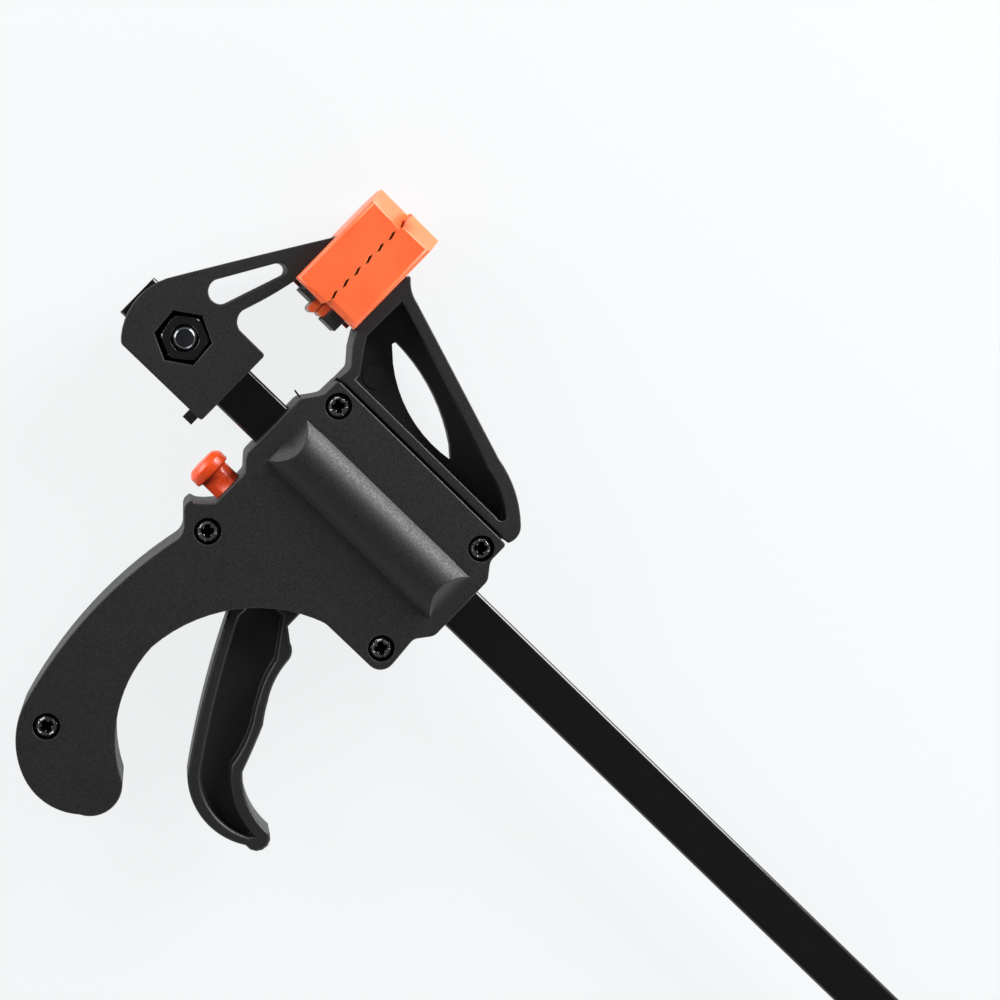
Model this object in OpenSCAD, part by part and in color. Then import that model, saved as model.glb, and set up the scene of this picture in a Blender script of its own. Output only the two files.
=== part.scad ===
// Quick release bar clamp, lying on its side: +X runs along the bar from the fixed jaw to its
// free end, +Y from the handle to the jaws, +Z out of the screwed cover. The jaws are closed.
// The layout is drawn about the jaw bolt's axis on the bar's centre line, then set down with
// the middle of its footprint at the origin.

/* [Bar] */
// Length of the bar
bar_len = 187; // [181:1:205]
// Width of the bar across its broad face
bar_w = 8; // [7.6:0.1:8.4]
// Thickness of the bar
bar_t = 4; // [3.6:0.1:4.4]
// Radius of the bar's long edges
bar_edge_r = 0.8; // [0.4:0.1:1.2]
// How far the bar stands out behind the fixed jaw
bar_tail = 0.4; // [0.2:0.1:2]
// Diameter of the stop pin near the free end
stop_pin_d = 3; // [2:0.1:4]
// Length of the stop pin
stop_pin_len = 12; // [8:0.5:16]
// From the stop pin's axis to the bar's free end
stop_pin_inset = 5.9; // [4:0.1:8]

/* [Fixed jaw] */
// Thickness of both jaws
jaw_t = 13; // [12:0.5:14]
// From the bolt's axis to the back of the fixed jaw
jaw_back = 9.8; // [9.4:0.1:10.4]
// From the bolt's axis to the front of the clamping block
jaw_front = 11.5; // [10:0.1:14]
// From the bar's centre line to the top and bottom of the clamping block
jaw_block_h = 7.5; // [7.2:0.1:7.8]
// Height at which the round back edge runs out into the straight upper edge
jaw_corner_y = 6.5; // [6:0.1:7]
// Radius of the lightening slot's wide end
slot_wide_r = 2.1; // [1.6:0.1:2.3]
// Radius of the lightening slot's narrow end
slot_narrow_r = 1.1; // [0.8:0.1:1.3]
// Depth of the hexagonal pocket and of the round pocket behind it
bolt_pocket_d = 3.4; // [3.1:0.1:3.6]

/* [Bolt and nut] */
// Diameter of the jaw bolt
bolt_d = 4; // [3.5:0.1:4.2]
// Nut, across its flats
nut_af = 7; // [6.6:0.1:7.1]
// The nut's pocket, across its flats
nut_pocket_af = 8.2; // [8.2:0.1:8.6]
// Turn of the nut's pocket in the jaw, in degrees
nut_pocket_turn = 4; // [0:1:8]
// Turn of the nut in its roomy pocket, in degrees
nut_turn = 5; // [0:1:12]
// Height of the nut
nut_h = 2.9; // [2.4:0.1:3]
// Diameter of the bolt's head
bolt_head_d = 7.6; // [7:0.1:8.4]
// Height of the bolt's head
bolt_head_h = 2.6; // [2:0.1:2.8]

/* [Pads] */
// From the bolt's axis to the plane where the closed pads meet
meet_x = 12.5; // [12:0.1:13]
// Thickness of a pad, from its teeth to its back
pad_len = 6.2; // [6:0.1:6.6]
// Height of a pad's front face
pad_h = 17.5; // [16.5:0.1:19]
// Width of a pad across the clamp
pad_w = 20; // [18:0.5:20]
// Height of the slanted shoulders on a pad's top
pad_shoulder_h = 3; // [2:0.1:4]
// Run of the slanted shoulders towards the middle
pad_shoulder_run = 5; // [3:0.1:6]
// Bottom of the fixed jaw's pad above the bar's centre line
fixed_pad_y = 20; // [19:0.1:21]
// Bottom of the sliding jaw's pad above the bar's centre line
sliding_pad_y = 20.6; // [19.5:0.1:21.5]
// Thickness of a pad's toothed wall at the roots
pad_wall = 1.4; // [1:0.1:1.6]
// Pitch of the teeth
tooth_pitch = 2.7; // [2.4:0.1:3.5]
// Height of the teeth
tooth_h = 0.45; // [0.3:0.05:0.6]
// How far the tab under the toothed wall hangs
pad_tab_h = 2.2; // [1.5:0.1:3]
// Thickness of the tongue that a pad is pushed on to
tongue_t = 2.8; // [2.4:0.1:3]
// How far the tongue reaches up into its pad
tongue_up = 14.2; // [13:0.1:15]
// How far the fixed jaw's tongue reaches out below its pad
fixed_tongue_low = 0.8; // [0.4:0.1:1.2]
// How far the sliding jaw's tongue reaches out below its pad
sliding_tongue_low = 2.3; // [1.8:0.1:2.6]

/* [Casing] */
// Thickness of the two casing halves together
case_t = 15; // [14.4:0.2:16]
// Wall of the casing
wall = 2; // [1.8:0.1:2.2]
// From the pads' meeting plane to the casing's left wall
case_gap = 10.4; // [10:0.1:12]
// Length of the casing between its side walls
case_len = 39.2; // [39:0.2:42]
// Top of the casing above the bar's centre line
case_top = 12.9; // [12.7:0.1:13.5]
// Bottom of the casing below the bar's centre line
case_bottom = 17.4; // [17:0.1:18]
// How far the bar's guides stand out of the side walls
nose_len = 2.4; // [2:0.1:3]
// The same at the right side wall
nose_right = 2; // [1.6:0.1:2.4]
// Half height of the bar's guides at their ends
nose_half_h = 6.4; // [6:0.1:7]
// Height of the half round bulge over the drive spring
bulge_h = 2.5; // [2.2:0.1:3]
// Width of the bulge where it leaves the face
bulge_w = 9.4; // [9:0.1:10.5]
// Distance of the bulge from each side wall
bulge_inset = 0.7; // [0.5:0.1:2]
// Run of the bulge's slanted ends
bulge_end = 2.9; // [2:0.1:4]
// Room between the bar's edges and the casing for the drive spring
spring_room = 3.6; // [3.4:0.1:3.8]
// How far the bar's guides reach into the chamber
guide_in = 1; // [0.6:0.1:1.4]

/* [Handle] */
// From the bar's centre line to the bottom of the handle
handle_reach = 70.2; // [68:0.2:72]
// How far the handle's back bows out beyond the casing's left wall
handle_bow = 2.6; // [2:0.1:4]

/* [Sliding jaw] */
// Thickness of the sliding jaw's web
web_t = 3; // [2:0.1:4]
// Width of the sliding jaw's rims
rim = 2; // [1.6:0.1:2.2]
// Groove between the casing's top and the sliding jaw
groove = 0.4; // [0.2:0.05:0.6]

/* [Screws] */
// Diameter of a casing screw's thread
screw_d = 2.2; // [2:0.1:2.6]
// Diameter of a casing screw's head
screw_head_d = 3.9; // [3.6:0.1:4.1]
// Height of a casing screw's head
screw_head_h = 1.6; // [1.4:0.1:1.8]
// Depth of the counterbore over a screw's head
counterbore = 2; // [1.9:0.1:2.4]
// Outer diameter of the screw bosses
boss_d = 4.8; // [4.6:0.1:5]
// Length of a casing screw below its head
screw_len = 10; // [9:0.5:10.5]

/* [Trigger] */
// Width of the trigger
trigger_w = 9; // [8:0.2:9.4]
// Thickness of the trigger's web
trigger_web = 3; // [2:0.2:4]
// Diameter of the trigger's pin
trigger_pin_d = 3.5; // [3:0.1:4]
// Casing wall left over each end of the trigger's pin
pin_skin = 1.2; // [1:0.1:1.6]
// Height of the trigger's nose above its pin
nose_arm = 7; // [6.8:0.1:7.2]
// Radius of the trigger's nose
nose_r = 2.2; // [1.8:0.1:2.3]

/* [Drive and brake] */
// Thickness of the drive plates and of the brake plate
plate_t = 2.4; // [2:0.1:2.6]
// Gap between the two drive plates
plate_gap = 0.3; // [0.2:0.1:0.6]
// How far the drive plates reach above the bar's centre line
drive_top = 6.6; // [6:0.1:7]
// How far they reach below it, down to the trigger's nose
drive_low = 8.4; // [8:0.1:8.6]
// From the casing's left wall to the brake plate's tilting edge
brake_x = 5.6; // [5.6:0.1:6]
// From the casing's left wall to the seat of the brake spring
brake_seat_x = 12.2; // [12:0.1:12.3]
// Thickness of the brake spring's seat
brake_seat_t = 1.2; // [0.8:0.1:1.2]
// Lean of the brake plate at rest, in degrees
brake_lean = 5; // [4:0.5:6]
// Thickness of the drive spring's wire
drive_wire = 1.2; // [1:0.1:1.3]
// Turns of the drive spring
drive_turns = 6; // [4:1:7]
// Height of the brake plate's tilting edge above the bar's centre line
brake_top = 9.3; // [9:0.1:9.6]
// Thickness of the brake spring's wire
brake_wire = 0.7; // [0.5:0.05:0.7]
// Outer diameter of the brake spring
brake_spring_d = 5; // [4.5:0.1:5.2]
// Turns of the brake spring
brake_turns = 3; // [2:1:3]

/* [Release button] */
// Height of the button's axis below the bar's centre line
button_drop = 12.5; // [12:0.1:13]
// Diameter of the button's cap
button_d = 6.8; // [6:0.1:7.4]
// Thickness of the button's cap
button_cap = 2.7; // [2:0.1:3]
// Diameter of the button's stem
button_stem_d = 5.3; // [4.6:0.1:5.5]
// How far the button can be pressed
button_travel = 1.8; // [1.4:0.1:1.8]
// Length of the crossbar that keeps the button in the casing
button_bar_len = 8; // [6.5:0.5:9]

/* [Fits] */
// Clearance on each side of a sliding or turning fit
fit = 0.1; // [0.06:0.01:0.12]
// Clearance all round between a pin or bolt and its hole
pin_play = 0.06; // [0.02:0.01:0.1]
// Clearance around pieces that move freely
loose = 0.3; // [0.25:0.05:0.4]

/* [Hidden] */
$fn = 48;
// Steps along one arc of an outline
arc_n = 14;
// Overshoot of a cut past a face
eps = 0.2;

jaw_z = jaw_t / 2;
case_z = case_t / 2;
inner_z = case_z - wall;
crown_z = case_z + bulge_h;
bar_x0 = -jaw_back - bar_tail;
case_x = meet_x + case_gap;
case_end = case_len + nose_right;
top_y = sliding_pad_y + pad_h + pad_shoulder_h;
stop_pin_x = bar_x0 + bar_len - stop_pin_inset;

// Lowest and highest corner of the whole clamp, which set its place on the table
low = [bar_x0, -handle_reach, -crown_z];
high = [bar_x0 + bar_len, top_y, crown_z];
place = [-(low.x + high.x) / 2, -(low.y + high.y) / 2, -low.z];

// Slot for the bar, with the clearance of a sliding fit
guide_w = bar_w + 2 * fit;
guide_t = bar_t + 2 * fit;
// Seats of the jaw's nut and bolt head, on both sides of the middle plane
bolt_seat = jaw_z - bolt_pocket_d;
// Middle of the nut's pocket; the bolt sits a little off it
pocket_at = [0, 0.2, 0];
bolt_at = pocket_at + [0.2, 0.15, 0];
// Seat of the casing screws' heads
screw_seat = case_z - counterbore;

// Centre of the circle through three points
function centre3(a, b, c) =
    let (d = 2 * (a.x * (b.y - c.y) + b.x * (c.y - a.y) + c.x * (a.y - b.y)),
        aa = a * a, bb = b * b, cc = c * c)
    [(aa * (b.y - c.y) + bb * (c.y - a.y) + cc * (a.y - b.y)) / d,
     (aa * (c.x - b.x) + bb * (a.x - c.x) + cc * (b.x - a.x)) / d];

// Points along the arc from a through b to c, without the last one; grow moves them outwards
function arc3(a, b, c, n = arc_n, grow = 0) =
    let (o = centre3(a, b, c), r = norm(a - o) + grow,
        from = atan2(a.y - o.y, a.x - o.x), to = atan2(c.y - o.y, c.x - o.x),
        ccw = cross(b - a, c - b) > 0,
        turn = ccw ? (to - from + 720) % 360 : -((from - to + 720) % 360))
    [for (i = [0:n - 1]) o + r * [cos(from + turn * i / n), sin(from + turn * i / n)]];

// Eight points around a wire at angle a of a coil with mean radius r about the X axis
function wire_ring(x, r, a, wire_r) =
    [for (k = [0:7]) let (p = r + wire_r * cos(45 * k))
        [x + wire_r * sin(45 * k), p * cos(a), p * sin(a)]];

module at_case() translate([case_x, 0, 0]) children();
module set_down() translate(place) children();
module slab(z0, z1) translate([0, 0, z0]) linear_extrude(z1 - z0) children();
module along_x(x0, len) translate([x0, 0, 0]) rotate([0, 90, 0]) linear_extrude(len) children();

// Compression spring about the X axis, from x0 over a length
module coil(x0, len, outer_d, wire_d, turns) {
    steps = 18;
    n = turns * steps;
    r = wire_d / 2;
    points = [for (i = [0:n]) each wire_ring(x0 + r + (len - wire_d) * i / n, outer_d / 2 - r,
        360 * i / steps, r)];
    sides = [for (i = [0:n - 1], k = [0:7])
        [8 * i + k, 8 * i + (k + 1) % 8, 8 * (i + 1) + (k + 1) % 8, 8 * (i + 1) + k]];
    ends = [[for (k = [7:-1:0]) k], [for (k = [0:7]) 8 * n + k]];
    polyhedron(points, concat(sides, ends), convexity = 10);
}

// ---- bar, jaw bolt and stop pin ----

module bar_section() {
    r = bar_edge_r;
    y = bar_w / 2 - r;
    z = bar_t / 2 - r;
    polygon([for (c = [[z, y, 0], [-z, y, 90], [-z, -y, 180], [z, -y, 270]], i = [0:4])
        [c[0] + r * cos(c[2] + 22.5 * i), c[1] + r * sin(c[2] + 22.5 * i)]]);
}

module bar() {
    color("#1c1c1e") set_down() difference() {
        along_x(bar_x0, bar_len) bar_section();
        translate(bolt_at) cylinder(d = bolt_d + 2 * pin_play, h = 2 * bar_t, center = true);
        translate([stop_pin_x, 0, 0]) cylinder(d = stop_pin_d, h = 2 * bar_t, center = true);
    }
}

module stop_pin() {
    color("#3a3a3c") set_down() translate([stop_pin_x, 0, 0])
        cylinder(d = stop_pin_d, h = stop_pin_len, center = true);
}

module fixed_jaw_bolt() {
    point = 0.5;
    socket_af = 2.5;
    socket_depth = 1.4;
    color("#202022") set_down() translate(bolt_at) difference() {
        union() {
            translate([0, 0, -bolt_seat - bolt_head_h]) cylinder(d = bolt_head_d, h = bolt_head_h);
            translate([0, 0, -bolt_seat - eps]) cylinder(d = bolt_d, h = 2 * bolt_seat + eps + nut_h);
            translate([0, 0, bolt_seat + nut_h]) cylinder(d1 = bolt_d, d2 = bolt_d - 2 * point, h = point);
        }
        translate([0, 0, -bolt_seat - bolt_head_h - eps])
            cylinder(d = socket_af / cos(30), h = socket_depth + eps, $fn = 6);
    }
}

module fixed_jaw_nut() {
    corner_d = nut_af / cos(30);
    chamfer = 0.36;
    lead = 0.4;
    color("#1a1a1c") set_down() translate([0, 0, bolt_seat]) translate(bolt_at) difference() {
        intersection() {
            rotate(30 + nut_pocket_turn + nut_turn) cylinder(d = corner_d, h = nut_h, $fn = 6);
            union() {
                cylinder(d = corner_d + eps, h = nut_h - chamfer);
                translate([0, 0, nut_h - chamfer])
                    cylinder(d1 = corner_d + eps, d2 = corner_d + eps - 2.9 * chamfer, h = chamfer);
            }
        }
        translate([0, 0, -eps]) cylinder(d = bolt_d, h = nut_h + 2 * eps);
        translate([0, 0, nut_h - lead]) cylinder(d1 = bolt_d, d2 = bolt_d + 2 * lead, h = lead);
    }
}

// ---- jaws and pads ----

// Lower and upper end of each jaw's neck
fixed_neck = [20.8, 29.8];
sliding_neck = [21.4, 33];

// A jaw's tip, drawn for teeth that face +X at x = 0: the neck and the tongue for the pad, which
// is bevelled at its lower end
module jaw_tip(low, high, neck, neck_x) {
    tongue_x = -pad_wall - fit;
    lead = 1.2;
    along_x(tongue_x - tongue_t, tongue_t)
        polygon([[jaw_z, low + lead], [jaw_z, high], [-jaw_z, high], [-jaw_z, low + lead],
            [lead / 2 - jaw_z, low], [jaw_z - lead / 2, low]]);
    translate([neck_x, neck[0], -jaw_z])
        cube([tongue_x - tongue_t / 2 - neck_x, neck[1] - neck[0], 2 * jaw_z]);
}

// Outline of a pad's toothed side, with its teeth along the face at x = 0
module pad_outline(h, phase) {
    n = ceil(h / tooth_pitch * 2);
    teeth = [for (i = [0:n]) [(i + phase) % 2 == 0 ? -tooth_h / 2 : tooth_h / 2,
        min(i * tooth_pitch / 2, h)]];
    polygon(concat(teeth, [[-pad_len, h], [-pad_len, 0]]));
}

// A pad for teeth that face +X at x = 0, with a pocket for the tongue and a slot for the neck
module pad(pad_y, neck, phase) {
    z = pad_w / 2;
    top_z = z - pad_shoulder_run;
    h = pad_h + pad_shoulder_h;
    pocket_z = jaw_z + fit;
    pocket_x = -pad_wall - tongue_t - 2 * fit;
    slot_x = -pad_wall - tongue_t / 2;
    tab_z = jaw_z - 1.5;
    difference() {
        union() {
            intersection() {
                translate([0, pad_y]) slab(-z, z) pad_outline(h, phase);
                translate([0, pad_y, 0]) along_x(-pad_len - eps, pad_len + 1)
                    polygon([[z, 0], [z, pad_h], [top_z, h], [-top_z, h], [-z, pad_h], [-z, 0]]);
            }
            translate([-pad_wall, pad_y - pad_tab_h, -tab_z])
                cube([pad_wall - tooth_h / 2, pad_tab_h + 1, 2 * tab_z]);
            translate([-pad_wall, pad_y - pad_tab_h, -tab_z]) cube([pad_wall, pad_tab_h, 2 * tab_z]);
        }
        translate([pocket_x, pad_y - pad_tab_h - eps, -pocket_z])
            cube([-pad_wall - pocket_x, tongue_up + fit + eps + pad_tab_h, 2 * pocket_z]);
        translate([-pad_len - 1, pad_y - 1, -pocket_z])
            cube([pad_len + 1 + slot_x, neck[1] + fit - pad_y + 1, 2 * pocket_z]);
    }
}

module fixed_jaw_outline() {
    // the neck starts a little way inside the slot in the pad's back
    neck_x = meet_x - pad_len + fit;
    polygon(concat(
        [[-6.5, -jaw_block_h]],
        arc3([-7.3, -6.7], [-jaw_back, 0.7], [1.9 - jaw_back, jaw_corner_y], 10),
        arc3([1.9 - jaw_back, jaw_corner_y], [-2.7, 15.1], [neck_x, fixed_neck[1]], 6),
        [[neck_x, fixed_neck[1]], [neck_x, fixed_neck[0]]],
        arc3([neck_x + 0.2, fixed_neck[0] - 0.5], [5.6, 16], [4.2, 11.4]),
        arc3([3.8, 10.2], [4.2, 8.5], [6, jaw_block_h]),
        [[jaw_front, jaw_block_h], [jaw_front, -jaw_block_h]]));
}

module fixed_jaw() {
    color("#2b2b2d") set_down() difference() {
        union() {
            slab(-jaw_z, jaw_z) fixed_jaw_outline();
            translate([meet_x - fit, 0, 0]) jaw_tip(fixed_pad_y - fixed_tongue_low,
                fixed_pad_y + tongue_up, fixed_neck, -pad_len);
            // stub of the moulding gate
            translate([9, -jaw_block_h - 1.7, 1.5]) cube([1.9, 2.2, 2]);
        }
        // tapered lightening slot
        slab(-jaw_t, jaw_t) hull() {
            translate([-0.85, 9.95]) circle(slot_wide_r);
            translate([3.4, 19.25]) circle(slot_narrow_r);
        }
        // tunnel for the bar, bolt hole and the pockets of nut and head
        translate([-jaw_back - 1, -guide_w / 2, -guide_t / 2])
            cube([jaw_back + jaw_front + 2, guide_w, guide_t]);
        translate(bolt_at) cylinder(d = bolt_d + 2 * pin_play, h = 2 * jaw_t, center = true);
        translate([0, 0, bolt_seat]) translate(pocket_at) rotate(30 + nut_pocket_turn)
            cylinder(d = nut_pocket_af / cos(30), h = jaw_z, $fn = 6);
        translate([0, 0, -bolt_seat - jaw_z]) translate(bolt_at)
            cylinder(d = bolt_head_d + 2 * loose, h = jaw_z);
    }
}

module fixed_jaw_pad() {
    color("#f2602c") set_down() translate([meet_x - fit, 0, 0]) pad(fixed_pad_y, fixed_neck, 0);
}

module sliding_jaw_pad() {
    color("#f2602c") set_down() translate([meet_x + fit, 0, 0]) mirror([1, 0, 0])
        pad(sliding_pad_y, sliding_neck, 1);
}

// ---- casing, drawn from its left wall ----

// A height above the lower end of the handle
function above_end(h) = h - handle_reach;

// Inner faces of the casing, and where its front and back edges change direction
floor_y = -case_bottom + wall;
right_wall_x = case_len - wall;
guide_x = right_wall_x - guide_in;
back_top = [-0.7, -23.7];
back_mid = [-handle_bow, -42];
back_low = [0.3, above_end(8.8)];
grip_top = [26.5, -case_bottom];
grip_mid = [13.3, -27.1];
grip_deep = [8.6, -39.8];
grip_bend = [12, above_end(19)];
grip_low = [20.7, above_end(10.9)];
toe_front = [22.4, above_end(7.2)];
toe = [19.3, above_end(2.3)];
sole = [14.2, above_end(0)];
heel = [8.8, above_end(0.5)];
heel_back = [3.65, above_end(3.73)];

screw_spots = [[3, 9.9], [case_len - 2.6, 9.5], [case_len - 3, -case_bottom + 3.4],
    [1.9, -19.8], [5.3, above_end(9.2)]];
// How far each screw's cross is turned, in degrees
screw_turns = [53, 40, 55, 45, 75];

module case_outline() {
    polygon(concat(
        [[0, case_top], [case_len, case_top], [case_len, 9], [case_end, nose_half_h]],
        [[case_end, -nose_half_h], [case_len - 0.2, -9.2]],
        arc3([case_len + 0.2, -case_bottom + 2.8], [case_len - 0.5, -case_bottom + 0.8],
            [case_len - 2.3, -case_bottom], 6),
        [[case_len - 2.3, -case_bottom]],
        arc3(grip_top, grip_mid, grip_deep),
        arc3(grip_deep, grip_bend, grip_low),
        arc3(grip_low, toe_front, toe),
        arc3(toe, sole, heel),
        arc3(heel, heel_back, back_low),
        arc3(back_low, back_mid, back_top),
        [back_top, [-1.1, -22.3], [-3.4, -19.9], [-3.8, -19.2], [-3.7, -18], [-2.7, -17.8],
         [-1.6, -16.9], [-0.4, -15.6], [-0.4, -9], [-0.6, -8.4]],
        [[-nose_len, -nose_half_h], [-nose_len, nose_half_h], [-0.8, 8.5], [-0.1, 9.6]]));
}

// Half round bulge with slanted ends, standing on the face at z = 0
module bulge() {
    r = (bulge_w * bulge_w / 4 + bulge_h * bulge_h) / (2 * bulge_h);
    x0 = bulge_inset;
    x1 = case_len - bulge_inset;
    intersection() {
        translate([x0, 0, bulge_h - r]) rotate([0, 90, 0]) cylinder(r = r, h = x1 - x0);
        rotate([90, 0, 0]) linear_extrude(bulge_w + 2, center = true)
            polygon([[x0, -eps], [x0, 0], [x0 + bulge_end, bulge_h + eps],
                [x1 - bulge_end, bulge_h + eps], [x1, 0], [x1, -eps]]);
    }
}

// Hollow of the handle between its two bowed walls, below the trigger's mouth
module handle_hollow() {
    top = -22;
    top_x = 8.1;
    grip = arc3(grip_top, grip_mid, grip_deep, arc_n, wall);
    polygon(concat(
        [[top_x, top], [top_x, -30], grip[arc_n - 2], grip[arc_n - 1]],
        arc3(grip_deep, grip_bend, grip_low, arc_n, wall),
        arc3(grip_low, toe_front, toe, arc_n, -wall),
        arc3(toe, sole, heel, arc_n, -wall),
        arc3(heel, heel_back, back_low, arc_n, -wall),
        arc3(back_low, back_mid, back_top, arc_n, -wall),
        [[back_top.x + wall, top]]));
}

// Everything that is taken out of one half, seen from the parting plane at z = 0
module case_hollow() {
    // chamber of the drive and the brake
    translate([wall, floor_y, -1])
        cube([right_wall_x - wall, case_top - wall - floor_y, inner_z + 1]);
    slab(-1, inner_z) handle_hollow();
    // mouth for the trigger
    slab(-1, trigger_w / 2 + loose) polygon([[12, -31.8], [9.8, -30.8], [9.6, -25], [12, -18.4],
        [13.6, -14.4], [13.6, -12], [24.5, -12], [24.5, -case_bottom - 1], [26, -21], [20, -32]]);
}

// Ribs and bosses that stand in the hollow
module case_ribs() {
    for (s = screw_spots) translate([s.x, s.y, -1]) cylinder(d = boss_d, h = case_z);
    // guides for the bar; the middle one also stops the trigger's nose
    for (x = [guide_in, guide_x]) translate([x, -nose_half_h, -1])
        cube([wall, 2 * nose_half_h, case_z]);
    translate([mid_wall_x, pivot.y + nose_arm, -1])
        cube([wall, case_top - pivot.y - nose_arm, case_z]);
    // stop of the brake plate's tilting edge, and the seat of its spring
    translate([brake_x - wall - fit, brake_top - 0.6, -1]) cube([wall, case_top - brake_top, case_z]);
    translate([brake_seat_x, floor_y - 1, -1]) cube([brake_seat_t, brake_seat_top - floor_y + 1, case_z]);
    translate([pivot.x, pivot.y, trigger_w / 2 + fit]) cylinder(d = trigger_pin_d + 3, h = case_z);
}

module case_half() {
    difference() {
        union() {
            slab(0, case_z) case_outline();
            translate([0, 0, case_z]) bulge();
        }
        difference() {
            case_hollow();
            case_ribs();
        }
        // slot for the bar, and the round rooms beside the middle guide
        translate([-case_gap, -guide_w / 2, -1]) cube([2 * case_len, guide_w, guide_t / 2 + 1]);
        along_x(wall + guide_in, mid_wall_x - wall - guide_in) circle(spring_room_r);
        along_x(mid_wall_x + wall, guide_x - mid_wall_x - wall) circle(spring_room_r);
        // bearing of the button's stem, and the hole for the trigger's pin
        translate([0, -button_drop, 0]) along_x(-case_gap, case_gap + wall + eps)
            circle(d = button_stem_d + 2 * fit);
        translate([pivot.x, pivot.y, -1]) cylinder(d = trigger_pin_d, h = case_z - pin_skin + fit + 1);
    }
}

module front_casing() {
    color("#2d2d2f") set_down() at_case() difference() {
        case_half();
        for (s = screw_spots) translate([s.x, s.y, 0]) {
            translate([0, 0, -1]) cylinder(d = screw_d + 2 * fit, h = case_z + 2);
            translate([0, 0, screw_seat]) cylinder(d = screw_head_d + 2 * loose, h = 2 * counterbore);
        }
    }
}

// Underside of the sliding jaw, above the groove over the cover's top
jaw_low = case_top + groove;

// Outline of the sliding jaw between the casing's top and its tip
module jaw_outline() {
    polygon(concat(
        [[0, jaw_low], [0, jaw_low + 2.6], [-2.2, 18.5], [-3.6, 20.9], [-3.6, 33.4]],
        arc3([-3.2, 33.4], [-1.6, 32], [0.4, 31.2], 6),
        arc3([0.4, 31.2], [14.6, 26.7], [28.3, 22.3], 8),
        arc3([28.3, 22.3], [34.6, 20.1], [case_len - 0.3, 16.9], 8),
        arc3([case_len - 0.3, 16.9], [case_len + 0.6, 14.9], [case_len + 0.2, jaw_low], 6),
        [[case_len + 0.2, jaw_low]]));
}

// The recess on each side of the sliding jaw's web
module jaw_pocket() {
    low_y = jaw_low + 1.7;
    polygon(concat(
        [[rim, low_y], [rim, 16], [-0.4, 19.4], [rim - 3.7, 21.5], [-1.5, 29.6]],
        arc3([-0.4, 29.2], [14.4, 24.7], [28.1, 19.9], 8),
        arc3([28.1, 19.9], [33, 18.3], [case_len - 2.9, 16.1], 6),
        arc3([case_len - 2.8, 16], [case_len - 3.1, low_y + 0.3], [case_len - 4.4, low_y], 5),
        [[case_len - 4.4, low_y]]));
}

// The leaf shaped opening through the web
module jaw_leaf() {
    polygon(concat(
        arc3([2.9, 24.4], [14.4, 22.2], [23.2, 17.1], 10),
        arc3([23.4, 16.7], [13, 17.3], [3.4, 22.9], 10),
        [[2.6, 23.7]]));
}

module rear_casing() {
    color("#2b2b2d") set_down() at_case() difference() {
        union() {
            mirror([0, 0, 1]) case_half();
            difference() {
                slab(-jaw_z, jaw_z) jaw_outline();
                slab(web_t / 2, jaw_t) jaw_pocket();
                slab(-jaw_t, -web_t / 2) jaw_pocket();
                slab(-jaw_t, jaw_t) jaw_leaf();
            }
            translate([-case_gap + fit, 0, 0]) mirror([1, 0, 0])
                jaw_tip(sliding_pad_y - sliding_tongue_low, sliding_pad_y + tongue_up,
                    sliding_neck, -pad_len - 0.8);
            // root that joins the sliding jaw to this half
            translate([0, case_top - 1, -jaw_z]) cube([case_len, 3 - fit, jaw_z - fit]);
        }
        for (s = screw_spots) translate([s.x, s.y, screw_seat - screw_len])
            cylinder(d = screw_d, h = screw_len);
    }
}

// Casing screw n: pan head with a cross recess
module casing_screw(n) {
    s = screw_spots[n - 1];
    r = screw_head_d / 2;
    h = screw_head_h;
    slot = [3.1, 0.9];
    deep = 1.2;
    shallow = 0.5;
    color("#161618") set_down() at_case() translate([s.x, s.y, screw_seat]) difference() {
        union() {
            translate([0, 0, loose - screw_len]) cylinder(d = screw_d, h = screw_len);
            rotate_extrude() polygon([[0, 0], [r, 0], [r, h - 0.9], [r - 0.12, h - 0.55],
                [r - 0.4, h - 0.25], [r - 0.9, h - 0.05], [0, h]]);
        }
        // the cross slopes down from its four ends to the middle
        for (a = [0, 90]) rotate(a + screw_turns[n - 1]) rotate([90, 0, 0])
            linear_extrude(slot.y, center = true) polygon([[-slot.x / 2, h + eps],
                [-slot.x / 2, h - shallow], [-slot.y / 2, h - deep], [slot.y / 2, h - deep],
                [slot.x / 2, h - shallow], [slot.x / 2, h + eps]]);
        translate([0, 0, h - deep]) cylinder(d1 = slot.y, d2 = 2 * slot.y, h = deep + eps);
    }
}

// ---- trigger and its pin ----

pivot = [18.1, -14];
nose = pivot + [0, nose_arm];

module trigger_outline() {
    polygon(concat(
        arc3(pivot - [3.6, 1], [14.2, -20], [13.8, -26.8], 6),
        arc3([13.8, -26.8], [20.2, -39.2], [28.2, -51.8]),
        arc3([28.2, -51.8], [35.6, -55.3], [43.4, -53.6]),
        arc3([43.4, -53.6], [46.2, -51.5], [45, -49.4], 6),
        arc3([45, -49.4], [38.6, -48.1], [34.4, -45]),
        arc3([34.4, -45], [32.9, -40.8], [31.4, -37], 8),
        arc3([31.4, -37], [30.4, -35.6], [29.2, -33.6], 6),
        arc3([29.2, -33.6], [27.4, -29.6], [26.9, -26.6], 8),
        arc3([26.9, -26.6], [26.1, -24.6], [24.3, -23.8], 6),
        [[22.8, -22.2]],
        arc3(pivot + [4.7, -4], pivot + [4.4, 1.5], nose + [nose_r, -2.4], 6),
        [nose + [nose_r, -2.4]],
        arc3(nose + [nose_r, 0], nose + [0, nose_r], nose - [nose_r, 0], 12),
        [nose - [nose_r, 0], pivot + [-3.4, 4]]));
}

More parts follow.
